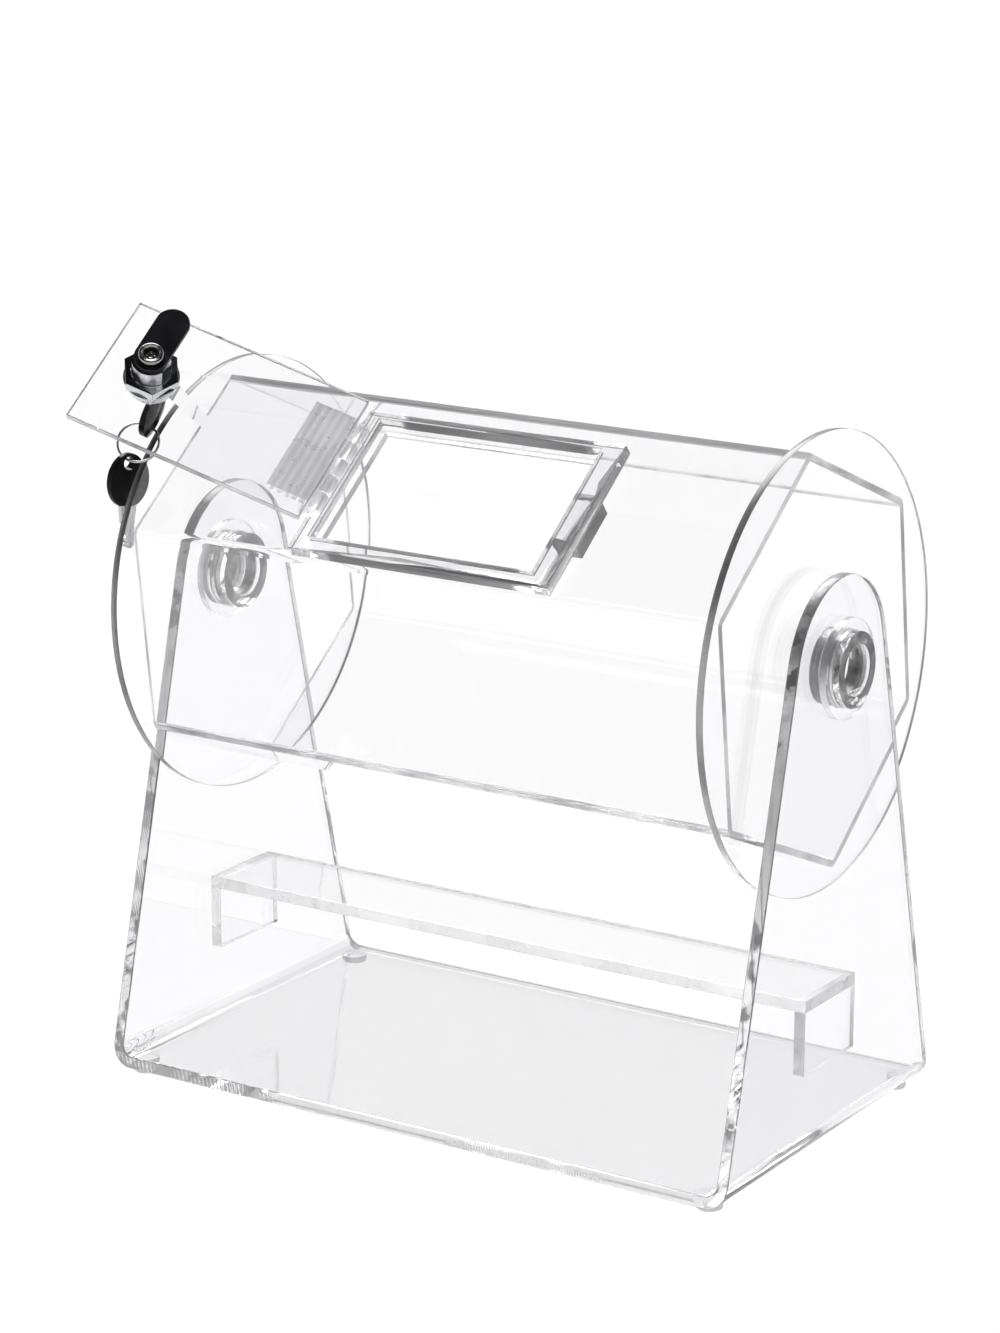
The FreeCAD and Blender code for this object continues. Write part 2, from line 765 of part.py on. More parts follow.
def export_parts():
    os.makedirs("parts", exist_ok=True)
    for item in parts:
        item.Shape.exportStep(os.path.join("parts", item.Label + ".step"))
        print(item.Label, len(item.Shape.Solids), round(item.Shape.Volume, 1))


fill_sheet()
make_stand_sheet()
make_feet()
make_brace()
make_drum_shell()
make_end("left", "180")
make_end("right", "0")
make_door_frame()
make_strike_block()
make_hinge_frame_leaf()
make_hinge_door_leaf()
make_hinge_pin()
make_door_plate()
make_lock_barrel()
make_lock_washer()
make_lock_nut()
make_lock_plug()
make_lock_cam()
make_cam_screw()
make_key("key", KEY)
make_key("spare_key", SPARE)
make_key_ring()
doc.recompute()
check_model()
export_parts()
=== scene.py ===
import math

import bmesh
import bpy
from mathutils import Matrix, Vector


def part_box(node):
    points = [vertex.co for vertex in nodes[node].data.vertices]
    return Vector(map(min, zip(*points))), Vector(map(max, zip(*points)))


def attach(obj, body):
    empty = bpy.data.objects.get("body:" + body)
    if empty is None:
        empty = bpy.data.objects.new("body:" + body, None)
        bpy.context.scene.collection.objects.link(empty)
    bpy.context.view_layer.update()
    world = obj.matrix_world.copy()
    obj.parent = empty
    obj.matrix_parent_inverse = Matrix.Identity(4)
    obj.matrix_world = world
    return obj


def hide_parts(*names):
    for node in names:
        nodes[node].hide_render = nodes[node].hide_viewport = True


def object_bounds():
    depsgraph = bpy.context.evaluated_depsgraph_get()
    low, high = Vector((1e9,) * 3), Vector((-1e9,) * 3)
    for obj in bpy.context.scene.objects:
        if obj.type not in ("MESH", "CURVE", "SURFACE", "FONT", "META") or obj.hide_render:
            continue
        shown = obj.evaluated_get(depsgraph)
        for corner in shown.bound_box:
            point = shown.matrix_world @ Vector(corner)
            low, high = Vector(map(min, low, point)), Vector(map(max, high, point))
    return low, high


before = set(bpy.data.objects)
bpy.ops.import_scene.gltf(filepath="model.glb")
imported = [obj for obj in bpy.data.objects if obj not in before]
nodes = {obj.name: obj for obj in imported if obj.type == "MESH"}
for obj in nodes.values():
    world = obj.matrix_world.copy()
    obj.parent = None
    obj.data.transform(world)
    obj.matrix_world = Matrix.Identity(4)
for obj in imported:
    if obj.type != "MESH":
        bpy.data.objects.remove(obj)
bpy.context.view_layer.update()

print("frame loaded:", len(nodes), "solids")


# shader maths: a Wire is one output of a node, and a Tree makes the nodes

class Wire:
    def __init__(self, tree, socket):
        self.tree = tree
        self.socket = socket

    def join(self, operation, first, second=None):
        values = {0: first} if second is None else {0: first, 1: second}
        return self.tree.add("ShaderNodeMath", {"operation": operation}, values)

    def __add__(self, other):
        return self.join("ADD", self, other)

    def __radd__(self, other):
        return self.join("ADD", other, self)

    def __sub__(self, other):
        return self.join("SUBTRACT", self, other)

    def __rsub__(self, other):
        return self.join("SUBTRACT", other, self)

    def __mul__(self, other):
        return self.join("MULTIPLY", self, other)

    def __rmul__(self, other):
        return self.join("MULTIPLY", other, self)

    def __abs__(self):
        return self.join("ABSOLUTE", self)

    def above(self, level):
        return self.join("GREATER_THAN", self, level)

    def below(self, level):
        return self.join("LESS_THAN", self, level)

    def sine(self):
        return self.join("SINE", self)

    def larger(self, other):
        return self.join("MAXIMUM", self, other)


class Tree:
    def __init__(self, holder):
        self.holder = holder
        holder.use_nodes = True
        self.graph = holder.node_tree
        self.graph.nodes.clear()

    def make(self, kind, settings=None, values=None):
        node = self.graph.nodes.new(kind)
        for key, setting in (settings or {}).items():
            if key == "stops":
                self.setStops(node.color_ramp, setting)
            else:
                setattr(node, key, setting)
        for key, value in (values or {}).items():
            if isinstance(value, Wire):
                self.graph.links.new(value.socket, node.inputs[key])
            else:
                node.inputs[key].default_value = value
        return node

    def add(self, kind, settings=None, values=None, output=0):
        return Wire(self, self.make(kind, settings, values).outputs[output])

    def setStops(self, ramp, stops):
        while len(ramp.elements) < len(stops):
            ramp.elements.new(0.5)
        for element, (place, grey) in zip(ramp.elements, stops):
            element.position = place
            element.color = (grey, grey, grey, 1)

    def along(self, vector, direction):
        return self.add("ShaderNodeVectorMath", {"operation": "DOT_PRODUCT"},
                        {0: vector, 1: direction}, output="Value")

    def place(self):
        return self.add("ShaderNodeTexCoord", output="Object")

    def spot(self, direction):  # how far the place lies along a direction, in metres
        return self.along(self.place(), direction)

    def facing(self, direction):  # 1 where the surface faces along a direction, 0 beside it
        return self.along(self.add("ShaderNodeTexCoord", output="Normal"), direction)

    def wave(self, direction, pitch):  # even ridges along a direction, from -1 to 1
        return (self.spot(direction) * (2 * math.pi / pitch)).sine()

    def noise(self, scale, detail, stretch=(1, 1, 1)):
        spread = self.add("ShaderNodeVectorMath", {"operation": "MULTIPLY"},
                          {0: self.place(), 1: stretch})
        return self.add("ShaderNodeTexNoise", None,
                        {"Vector": spread, "Scale": scale, "Detail": detail})

    def ramp(self, amount, stops):
        return self.add("ShaderNodeValToRGB", {"stops": stops}, {"Fac": amount})

    def blend(self, amount, first, second):
        return self.add("ShaderNodeMix", {"data_type": "RGBA"},
                        {0: amount, 6: first, 7: second}, output=2)

    def bump(self, height):  # the height is in metres
        return self.add("ShaderNodeBump", None, {"Height": height, "Distance": 1.0})

    def shader(self, values):
        return self.add("ShaderNodeBsdfPrincipled", None, values)

    def mixShader(self, amount, first, second):
        return self.add("ShaderNodeMixShader", None, {0: amount, 1: first, 2: second})

    def finish(self, surface):
        self.make("ShaderNodeOutputMaterial", None, {"Surface": surface})
        return self.holder

    def finishWith(self, values):
        return self.finish(self.shader(values))

    def finishClear(self, surface):
        # shadow rays and bounced light pass straight through, as they all but do in clear sheet
        through = self.add("ShaderNodeBsdfTransparent")
        lamp = self.add("ShaderNodeLightPath", output="Is Shadow Ray")
        bounce = self.add("ShaderNodeLightPath", output="Is Diffuse Ray")
        return self.finish(self.mixShader(lamp.larger(bounce), surface, through))


def newMaterial(name):
    return Tree(bpy.data.materials.new(name))


# the directions that the pieces are made along

acrossDrum = Vector((1, 0, 0))
depthways = Vector((0, 1, 0))
upward = Vector((0, 0, 1))
sawWay = Vector((1.0, 0.45, 0.3))  # slanted, so that saw marks cross every edge
drumAxis = Vector((0, 0, 0.2))
wallTurn = math.radians(37.3)  # how far the wall with the opening leans to the front
wallOut = Vector((0, -math.sin(wallTurn), math.cos(wallTurn)))
wallFront = Vector((0, -math.cos(wallTurn), -math.sin(wallTurn)))
doorFace = Vector((0.422618, -0.549212, 0.720944))
doorLength = Vector((-0.906308, -0.256102, 0.336182))


# how cut edges look: a tone is the cut's tint, and how much of it is hazed over
# a noise is its scale, its detail and its stretch, and stops are places and greys

plainLook = {
    "streak": (42, 4.0),
    "streakStops": [(0.38, 0.0), (0.62, 1.0)],
    "darkTint": (0.34, 0.335, 0.355, 1),
    "lightTint": (0.92, 0.92, 0.935, 1),
    "haze": (29.4, 3.0),
    "share": [(0.38, 0.3), (0.62, 0.85)],
}


def plainTone(tree):
    look = plainLook
    streak = tree.ramp(tree.noise(*look["streak"]), look["streakStops"])
    tint = tree.blend(streak, look["darkTint"], look["lightTint"])
    return tint, tree.ramp(tree.noise(*look["haze"]), look["share"])


def cloudTone(tree, look):
    cloud = tree.noise(*look["cloud"])
    return tree.ramp(cloud, look["tint"]), tree.ramp(cloud, look["share"])


braceLook = {
    "cloud": (55, 4.0),
    "tint": [(0.3, 0.72), (0.7, 0.97)],
    "share": [(0.35, 0.08), (0.7, 0.35)],
}


def braceTone(tree):
    return cloudTone(tree, braceLook)


strikeLook = {
    "cloud": (80, 3.0),
    "tint": [(0.35, 0.12), (0.7, 0.32)],
    "share": [(0.35, 0.85), (0.7, 0.6)],
}


def strikeTone(tree):
    return cloudTone(tree, strikeLook)


rimLook = {
    "cloud": (26, 4.0),
    "topFacing": [(0.1, 0.0), (0.6, 1.0)],
    "tint": [(0.36, 0.2), (0.66, 0.62)],
    "upFacingShadeTint": [(0.36, 0.05), (0.66, 0.22)],
    "share": [(0.42, 0.85), (0.62, 0.4)],
    "upFacingShadeShare": 0.9,
}


def rimTone(tree):
    # a disc's rim is darkest where it faces up: painted shade laid over its cloudy tint
    look = rimLook
    cloud = tree.noise(*look["cloud"])
    top = tree.ramp(tree.facing(upward), look["topFacing"])
    tint = tree.blend(top, tree.ramp(cloud, look["tint"]), tree.ramp(cloud, look["upFacingShadeTint"]))
    return tint, tree.ramp(cloud, look["share"]).larger(top * look["upFacingShadeShare"])


frameLook = {
    "frontFacing": 0.5,
    "endNoise": (90, 3.0),
    "endWander": 0.2,
    "endStops": [(0.80, 0.0), (0.86, 1.0)],
    "streak": (70, 3.0, (0.3, 1, 1)),
    "frontShadeTint": [(0.35, 0.10), (0.7, 0.24)],
    "frontShadeShare": 0.9,
    "tint": [(0.35, 0.5), (0.7, 0.9)],
    "haze": (60, 3.0),
    "share": [(0.45, 0.05), (0.65, 0.4)],
}


def frameTone(tree):
    # the opening frame: its long front-facing edge is painted dark as shade in one band, paler
    # towards its ends
    look = frameLook
    low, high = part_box("door_frame")
    middle, half = (low[0] + high[0]) / 2, (high[0] - low[0]) / 2
    reach = abs(tree.spot(acrossDrum) - middle) * (1 / half)
    wander = tree.noise(*look["endNoise"]) * look["endWander"]
    end = tree.ramp(reach + wander, look["endStops"])
    frontShade = tree.facing(wallFront).above(look["frontFacing"]) * (1 - end)
    streak = tree.noise(*look["streak"])
    tint = tree.blend(frontShade, tree.ramp(streak, look["tint"]), tree.ramp(streak, look["frontShadeTint"]))
    share = tree.ramp(tree.noise(*look["haze"]), look["share"]) * (1 - frontShade)
    return tint, (frontShade * look["frontShadeShare"]).larger(share)


# where a piece is cut, and the narrow facets along its cuts, which are painted dark as the shade
# lines a clear sheet shows at its edges

sheetLook = {
    "ior": 1.49,
    "faceTint": (0.993, 0.991, 0.995, 1),
    "faceFlat": 0.97,
    "smudge": (14, 5.0),
    "smudgeStops": [(0.45, 0.0), (0.8, 1.0)],
    "smudgeRoughness": 0.02,
    "swell": (9, 1.0),
    "swellDepth": 0.00004,
    "edgeTint": (0.995, 0.995, 1.0, 1),
    "edgeRoughness": 0.06,
    "cutRoughness": 0.35,
    "arrisFlat": 0.2,
    "darkLineTint": (0.24, 0.24, 0.255, 1),
    "darkLineShare": 0.7,
    "sawPitch": 0.0013,
    "sawDepth": 0.00002,
    "sawPatch": (30, 2.0),
    "sawPatchStops": [(0.5, 0.0), (0.7, 1.0)],
}


def edgeMasks(tree, face):
    flat = abs(tree.facing(face))
    edge = flat.below(sheetLook["faceFlat"])
    # the second mask is the bevel's narrow facets, which get a painted dark tint as shade lines
    return edge, edge * flat.above(sheetLook["arrisFlat"])


wallLook = {
    "endFlat": 0.9,
    "sideFlat": 0.95,
    "seamTurn": -30,
    "seamReach": 0.0859,
    "seamTint": (0.50, 0.485, 0.505, 1),
}


def wallMasks(tree, face):
    # the drum's walls: its ends and the opening's sides are edges, and the glued seam is scraped
    look = wallLook
    seamWay = Matrix.Rotation(math.radians(look["seamTurn"]), 3, "X") @ face
    end = abs(tree.facing(acrossDrum)).above(look["endFlat"])
    side = abs(tree.facing(wallFront)).above(look["sideFlat"])
    reach = tree.spot(seamWay) - drumAxis.dot(seamWay)
    return end.larger(side), reach.above(look["seamReach"])


tubeLook = {
    "cloud": (120, 3.0),
    "tint": [(0.35, 0.03), (0.7, 0.3)],
    "share": [(0.3, 0.85), (0.7, 0.6)],
    "bandPitch": 0.0078,
    "bandAbove": 0.2,
    "endFlat": 0.5,
    "endShare": 0.6,
}


def tubeMasks(tree, face):
    # a turned tube: painted dark bands along its length, and at its ends, stand in for the light
    # and shade it catches in turn; no dark edge lines
    look = tubeLook
    shadeBand = tree.wave(face, look["bandPitch"]).above(look["bandAbove"])
    end = abs(tree.facing(face)).above(look["endFlat"])
    return shadeBand.larger(end * look["endShare"]), 0.0


def tubeTone(tree):
    return cloudTone(tree, tubeLook)


standLook = {
    "panelTint": (0.945, 0.941, 0.951, 1),
    "baseShadeTint": (0.80, 0.797, 0.808, 1),
    "baseTop": 0.006,
    "bendTop": 0.03,
    "tilted": 0.2,
    "panelFlat": 0.9,
    "sideFlat": 0.93,
    "zoneSpread": 3,
    "zoneMiddle": 0.5,
    "zoneWander": 0.1,
    "lowZone": ((20, 1.0), [(0.34, 1.0), (0.44, 0.0)]),
    "crownZone": ((25, 1.0), [(0.53, 0.0), (0.60, 1.0)]),
    "clearZone": ((30, 1.0), [(0.32, 0.0), (0.37, 1.0)]),
    "streak": (90, 3.0, (1, 1, 0.05)),
    "sideTint": [(0.35, 0.42), (0.65, 0.88)],
    "sideShare": [(0.4, 0.55), (0.6, 0.8)],
    "blotch": (105, 2.0, (1, 1, 0.7)),
    "lowTint": (0.19, 0.19, 0.2, 1),
    "lowShare": [(0.42, 0.75), (0.50, 0.0)],
    "mark": (105, 3.0, (1, 1, 1.3)),
    "markTint": [(0.42, 0.12), (0.50, 0.75)],
    "markShare": [(0.42, 0.85), (0.53, 0.45)],
    "topFacing": [(0.2, 0.0), (0.6, 1.0)],
    "upFacingShadeTint": [(0.42, 0.08), (0.56, 0.24)],
    "upFacingShadeShare": 0.88,
    "sawPitch": 0.0021,
    "sawMark": 0.12,
    "sawCloud": (60, 3.0),
    "sawnTint": [(0.35, 0.5), (0.65, 0.95)],
    "sawnShare": [(0.4, 0.7), (0.6, 0.2)],
    "clearTint": (0.95, 0.95, 0.96, 1),
    "clearShare": (0.02, 0.02, 0.02, 1),
}


def standMasks(tree, face):
    # the folded sheet: its bends aren't edges, its sloped sides and round tops are
    look = standLook
    side = abs(tree.facing(depthways))
    panel = abs(tree.facing(face))
    high = tree.spot(upward).above(look["bendTop"])
    cut = side.above(look["tilted"])
    tilted = panel.above(look["tilted"])
    top = panel.below(look["panelFlat"]) * high
    # the facets along the sloped sides and round tops are painted dark later, as shade lines
    darkLines = cut * side.below(look["sideFlat"]) * tilted.larger(1 - high)
    return cut.larger(top), darkLines.larger(tilted * top)


def standZone(tree, reach, zone):
    # a stretch of the stand whose border wanders a little
    border, stops = standLook[zone]
    return tree.ramp(reach + tree.noise(*border) * standLook["zoneWander"], stops)


def standTone(tree):
    # up the sides long streaks, blotches below them and marks on the crown
    # along the base saw marks at the left, and clear beyond them
    look = standLook
    height = tree.spot(upward)
    low = standZone(tree, height * look["zoneSpread"], "lowZone")
    crown = standZone(tree, height * look["zoneSpread"], "crownZone")
    across = tree.spot(acrossDrum) * look["zoneSpread"] + look["zoneMiddle"]
    clear = standZone(tree, across, "clearZone").larger(tree.spot(depthways).above(0))
    base = height.below(look["baseTop"])
    # painted shade: where the crown faces up it takes a darker tint, and more of it
    top = tree.ramp(tree.facing(upward), look["topFacing"])
    streak = tree.noise(*look["streak"])
    blotch = tree.noise(*look["blotch"])
    mark = tree.noise(*look["mark"])
    sawn = tree.wave(sawWay, look["sawPitch"]) * look["sawMark"] + tree.noise(*look["sawCloud"])

    def layered(sides, lower, crownMarksAndShade, saws, beyond):
        upper = tree.blend(crown, tree.blend(low, sides, lower), crownMarksAndShade)
        return tree.blend(base, upper, tree.blend(clear, saws, beyond))

    # the crown's marks, with painted shade on its up-facing parts
    crownMarksAndShade = tree.blend(top, tree.ramp(mark, look["markTint"]), tree.ramp(mark, look["upFacingShadeTint"]))
    tint = layered(tree.ramp(streak, look["sideTint"]), look["lowTint"], crownMarksAndShade,
                   tree.ramp(sawn, look["sawnTint"]), look["clearTint"])
    crownMarksAndShade = tree.ramp(mark, look["markShare"]).larger(top * look["upFacingShadeShare"])
    share = layered(tree.ramp(streak, look["sideShare"]), tree.ramp(blotch, look["lowShare"]),
                    crownMarksAndShade, tree.ramp(sawn, look["sawnShare"]), look["clearShare"])
    return tint, share


# clear sheet: polished faces with a faint swell, and sawn edges that read grey

def sheetTint(tree, node):
    # the stand's sheet shows a slight tint, and its base a darker one that is painted shade,
    # standing in for the shadow on the floor under it
    if node != "stand_sheet":
        return sheetLook["faceTint"]
    low = tree.spot(upward).below(standLook["baseTop"])
    return tree.blend(low, standLook["panelTint"], standLook["baseShadeTint"])


def clearSheet(node, face, masksWith, toneWith):
    tree = newMaterial("clear_" + node)
    look = sheetLook
    edge, darkLines = masksWith(tree, face)
    cutTint, haze = toneWith(tree)
    smudge = tree.ramp(tree.noise(*look["smudge"]), look["smudgeStops"])
    swell = tree.noise(*look["swell"]) * (1 - edge) * look["swellDepth"]
    patch = tree.ramp(tree.noise(*look["sawPatch"]), look["sawPatchStops"])
    saw = tree.wave(sawWay, look["sawPitch"]) * patch * edge * look["sawDepth"]
    bump = tree.bump(swell + saw)
    smeared = (1 - edge) * smudge * look["smudgeRoughness"]
    clear = tree.shader({
        "Base Color": tree.blend(edge, sheetTint(tree, node), look["edgeTint"]),
        "Roughness": edge * look["edgeRoughness"] + smeared,
        "Transmission Weight": 1.0,
        "IOR": look["ior"],
        "Normal": bump,
    })
    # the dark lines: on most pieces the bevel facets, painted as the shade lines along a clear
    # sheet's edges, and on the drum its glued seam
    darkLineTint = wallLook["seamTint"] if node == "drum_shell" else look["darkLineTint"]
    cut = tree.shader({
        "Base Color": tree.blend(darkLines, cutTint, darkLineTint),
        "Roughness": look["cutRoughness"],
        "IOR": look["ior"],
        "Normal": bump,
    })
    share = (edge * haze).larger(darkLines * look["darkLineShare"])
    return tree.finishClear(tree.mixShader(share, clear, cut))


# moulded hinge and feet

hingeLook = {
    "ribPitch": 0.0034,
    "ribDepth": 0.00012,
    "ribShade": 0.3,
    "finePitch": 0.0012,
    "fineShade": 0.12,
    "cloud": (50, 2.0),
    "shadeStops": [(0.2, 0.0), (0.8, 1.0)],
    "darkTint": (0.78, 0.78, 0.81, 1),
    "lightTint": (0.98, 0.98, 1.0, 1),
    "haze": (160, 4.0),
    "hazeStops": [(0.3, 0.24), (0.75, 0.4)],
    "clearness": 0.65,
    "ior": 1.49,
}


def hingePlastic():
    # milky moulding with ribs along the pin, whose light and shade are painted into the tint as
    # pale and grey stripes
    tree = newMaterial("hingeMoulding")
    look = hingeLook
    rib = tree.wave(doorLength, look["ribPitch"])
    fine = tree.wave(doorLength, look["finePitch"])
    streak = rib * look["ribShade"] + fine * look["fineShade"] + tree.noise(*look["cloud"])
    shade = tree.ramp(streak, look["shadeStops"])
    return tree.finishClear(tree.shader({
        "Base Color": tree.blend(shade, look["darkTint"], look["lightTint"]),
        "Roughness": tree.ramp(tree.noise(*look["haze"]), look["hazeStops"]),
        "Transmission Weight": look["clearness"],
        "IOR": look["ior"],
        "Normal": tree.bump(rib * look["ribDepth"]),
    }))


footLook = {
    "tint": (0.52, 0.53, 0.54, 1),
    "haze": (300, 3.0),
    "hazeStops": [(0.3, 0.25), (0.7, 0.45)],
    "grain": (700, 2.0),
    "grainDepth": 0.00004,
    "clearness": 0.5,
    "ior": 1.45,
}


def softFoot():
    tree = newMaterial("softFoot")
    look = footLook
    return tree.finishClear(tree.shader({
        "Base Color": look["tint"],
        "Roughness": tree.ramp(tree.noise(*look["haze"]), look["hazeStops"]),
        "Transmission Weight": look["clearness"],
        "IOR": look["ior"],
        "Normal": tree.bump(tree.noise(*look["grain"]) * look["grainDepth"]),
    }))


# plated and coated metal

metalLooks = {
    "nickelPlate": {"tint": (0.80, 0.81, 0.84), "roughness": 0.07,
                    "ringPitch": 0.0009, "ringDepth": 0.000012},
    "darkPlate": {"tint": (0.33, 0.33, 0.31), "roughness": 0.12,
                  "ringPitch": 0.0007, "ringDepth": 0.00001},
    "keySteel": {"tint": (0.60, 0.60, 0.61), "roughness": 0.16,
                 "ringPitch": 0.0005, "ringDepth": 0.000006},
}
platingLook = {
    "cloud": (220, 4.0),
    "cloudPlaces": (0.35, 0.75),
    "dullRoughness": 2.2,
    "dullTint": 0.86,
    "grain": (1500, 2.0),
    "grainDepth": 0.000006,
}


def plated(name):
    # turned metal: faint tool rings along the lock, and plating that clouds here and there
    tree = newMaterial(name)
    metal, look = metalLooks[name], platingLook
    cloud = tree.noise(*look["cloud"])
    bright, dull = look["cloudPlaces"]
    roughness = tree.ramp(cloud, [(bright, metal["roughness"]),
                                  (dull, metal["roughness"] * look["dullRoughness"])])
    dullTint = [look["dullTint"] * part for part in metal["tint"]]
    rings = tree.wave(doorFace, metal["ringPitch"]) * metal["ringDepth"]
    return tree.finishWith({
        "Base Color": tree.blend(cloud, [*metal["tint"], 1], [*dullTint, 1]),
        "Roughness": roughness,
        "Metallic": 1.0,
        "Normal": tree.bump(rings + tree.noise(*look["grain"]) * look["grainDepth"]),
    })


blackLooks = {
    "blackCoat": {
        "cloud": (130, 5.0),
        "darkTint": (0.004, 0.004, 0.006, 1),
        "lightTint": (0.016, 0.016, 0.021, 1),
        "roughness": [(0.3, 0.30), (0.75, 0.42)],
        "specular": 0.22,
        "grain": (2600, 3.0),
        "grainDepth": 0.00002,
    },
    "blackMoulding": {
        "cloud": (90, 5.0, (6, 1, 1)),
        "darkTint": (0.003, 0.003, 0.003, 1),
        "lightTint": (0.012, 0.011, 0.011, 1),
        "roughness": [(0.4, 0.05), (0.8, 0.16)],
        "specular": 0.08,
        "grain": (1200, 2.0),
        "grainDepth": 0.000008,
    },
}


def blackFinish(name):
    tree = newMaterial(name)
    look = blackLooks[name]
    cloud = tree.noise(*look["cloud"])
    return tree.finishWith({
        "Base Color": tree.blend(cloud, look["darkTint"], look["lightTint"]),
        "Roughness": tree.ramp(cloud, look["roughness"]),
        "Specular IOR Level": look["specular"],
        "Normal": tree.bump(tree.noise(*look["grain"]) * look["grainDepth"]),
    })


# finishes on the solids

sheetPieces = {
    "stand_sheet": (acrossDrum, standMasks, standTone),
    "brace_bar": (upward, edgeMasks, braceTone),
    "brace_tab_left": (acrossDrum, edgeMasks, braceTone),
    "brace_tab_right": (acrossDrum, edgeMasks, plainTone),
    "drum_shell": (wallOut, wallMasks, plainTone),
    "end_disc_left": (acrossDrum, edgeMasks, rimTone),
    "end_disc_right": (acrossDrum, edgeMasks, rimTone),
    "flange_ring_left": (acrossDrum, edgeMasks, plainTone),
    "flange_ring_right": (acrossDrum, edgeMasks, plainTone),
    "hub_tube_left": (acrossDrum, tubeMasks, tubeTone),
    "hub_tube_right": (acrossDrum, tubeMasks, tubeTone),
    "door_frame": (wallOut, edgeMasks, frameTone),
    "door_plate": (doorFace, edgeMasks, plainTone),
    "strike_block": (wallOut, edgeMasks, strikeTone),
}


def dress(names, material):
    for name in names:
        mesh = nodes[name].data
        mesh.materials.clear()
        mesh.materials.append(material)


for name, finish in sheetPieces.items():
    dress([name], clearSheet(name, *finish))
keySteel = plated("keySteel")
dress(["hinge_frame_leaf", "hinge_door_leaf", "hinge_pin"], hingePlastic())
dress(["feet"], softFoot())
dress(["lock_barrel", "lock_washer", "lock_nut", "lock_plug"], plated("nickelPlate"))
dress(["lock_cam"], blackFinish("blackCoat"))
dress(["key_ring"], keySteel)
dress(["key_head", "spare_key_head"], blackFinish("blackMoulding"))
print("solids dressed")


# a small bevel on each cut edge, and a hair's gap where pieces are glued

edgeBreak = {
    "width": 0.00025,
    "standWidth": 0.00045,
    "segments": 2,
    "turn": 40,
    "weld": 0.000004,
    "glue": 0.00003,
}
bevelled = ["stand_sheet", "brace_bar", "brace_tab_left", "brace_tab_right", "end_disc_left",
            "end_disc_right", "door_frame", "door_plate", "strike_block", "lock_nut"]
glued = ["brace_bar", "brace_tab_left", "brace_tab_right", "drum_shell", "hub_tube_left",
         "hub_tube_right", "strike_block", "hinge_frame_leaf", "hinge_door_leaf"]

for name in sorted(set(bevelled + glued)):
    weld = nodes[name].modifiers.new("weld", "WELD")
    weld.merge_threshold = edgeBreak["weld"]
    if name in glued:
        inset = nodes[name].modifiers.new("inset", "DISPLACE")
        inset.mid_level = 0
        inset.strength = -edgeBreak["glue"]
    if name in bevelled:
        bevel = nodes[name].modifiers.new("bevel", "BEVEL")
        bevel.width = edgeBreak["standWidth" if name == "stand_sheet" else "width"]
        bevel.segments = edgeBreak["segments"]
        bevel.limit_method = "ANGLE"
        bevel.angle_limit = math.radians(edgeBreak["turn"])
print("edges broken")


# pieces that get their own mesh: the blades' cuts and the screw's recess

def frameAt(spot, acrossWay, outWay):
    across = Vector(acrossWay).normalized()
    out = Vector(outWay).normalized()
    side = out.cross(across)
    turn = Matrix((across, side, out)).transposed().to_4x4()
    return Matrix.Translation(Vector(spot)) @ turn


lockFrame = frameAt((-0.126475, -0.080459, 0.29877), doorLength, doorFace)
keyFrames = {
    "key_blade": frameAt((-0.140844, -0.061786, 0.274257), doorLength, doorFace),
    "spare_key_blade": frameAt((-0.143914, -0.075299, 0.262048),
                               (0.975401, -0.209108, -0.069756),
                               (-0.068207, 0.014622, -0.997564)),
}


def skinRings(builder, rings):
    # joins rings of points into one closed skin
    count = len(rings[0])
    for lower, upper in zip(rings, rings[1:]):
        for index in range(count):
            following = (index + 1) % count
            builder.faces.new((lower[index], lower[following], upper[following], upper[index]))
    builder.faces.new(rings[0])
    builder.faces.new(rings[-1])


def addPiece(name, builder, place, material, body, node):
    mesh = bpy.data.meshes.new(name)
    bmesh.ops.recalc_face_normals(builder, faces=builder.faces)
    builder.to_mesh(mesh)
    builder.free()
    mesh.transform(place)
    mesh.materials.append(material)
    piece = bpy.data.objects.new(name, mesh)
    bpy.context.scene.collection.objects.link(piece)
    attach(piece, body)
    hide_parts(node)
    return piece


bladeLook = {
    "root": 0.0130,
    "neckStart": 0.0190,
    "shoulderRun": 0.003,
    "neckEnd": 0.0270,
    "tip": 0.0377,
    "halfSheet": 0.00098,
    "halfNeck": 0.00345,
    "halfShoulder": 0.0031,
    "halfBlade": 0.0025,
    "groove": 0.00042,
    "frontGroove": (0.35, 0.25, 0.20, 0.30),
    "backGroove": (0.62, 0.52, 0.05, 0.05),
    "cuts": [(0.0283, 0.0011), (0.0302, 0.0004), (0.0321, 0.0014), (0.0340, 0.0007),
             (0.0357, 0.0010)],
    "cutHalf": 0.0004,
    "toothRun": 0.00095,
    "toothWear": 0.0001,
    "tipRun": 0.0009,
    "tipTaper": (0.0002, 0.0007),
    "tipShare": (0.45, 0.25),
    "bevel": 0.00008,
}


def bladeStations():
    # how far the blade reaches to each side, station by station from root to tip
    look = bladeLook
    full, neck, shoulder = look["halfBlade"], look["halfNeck"], look["halfShoulder"]
    stations = [(look["root"], neck, neck),
                (look["neckStart"], neck, neck),
                (look["neckStart"] + look["shoulderRun"], shoulder, shoulder),
                (look["neckEnd"], full, full)]
    for spot, depth in look["cuts"]:
        stations.append((spot - look["cutHalf"], full, full - depth))
        stations.append((spot + look["cutHalf"], full, full - depth))
        stations.append((spot + look["toothRun"], full, full - look["toothWear"]))
    backTaper, cutTaper = look["tipTaper"]
    backShare, cutShare = look["tipShare"]
    stations.append((look["tip"] - look["tipRun"], full - backTaper, full - cutTaper))
    stations.append((look["tip"], full * backShare, full * cutShare))
    return stations


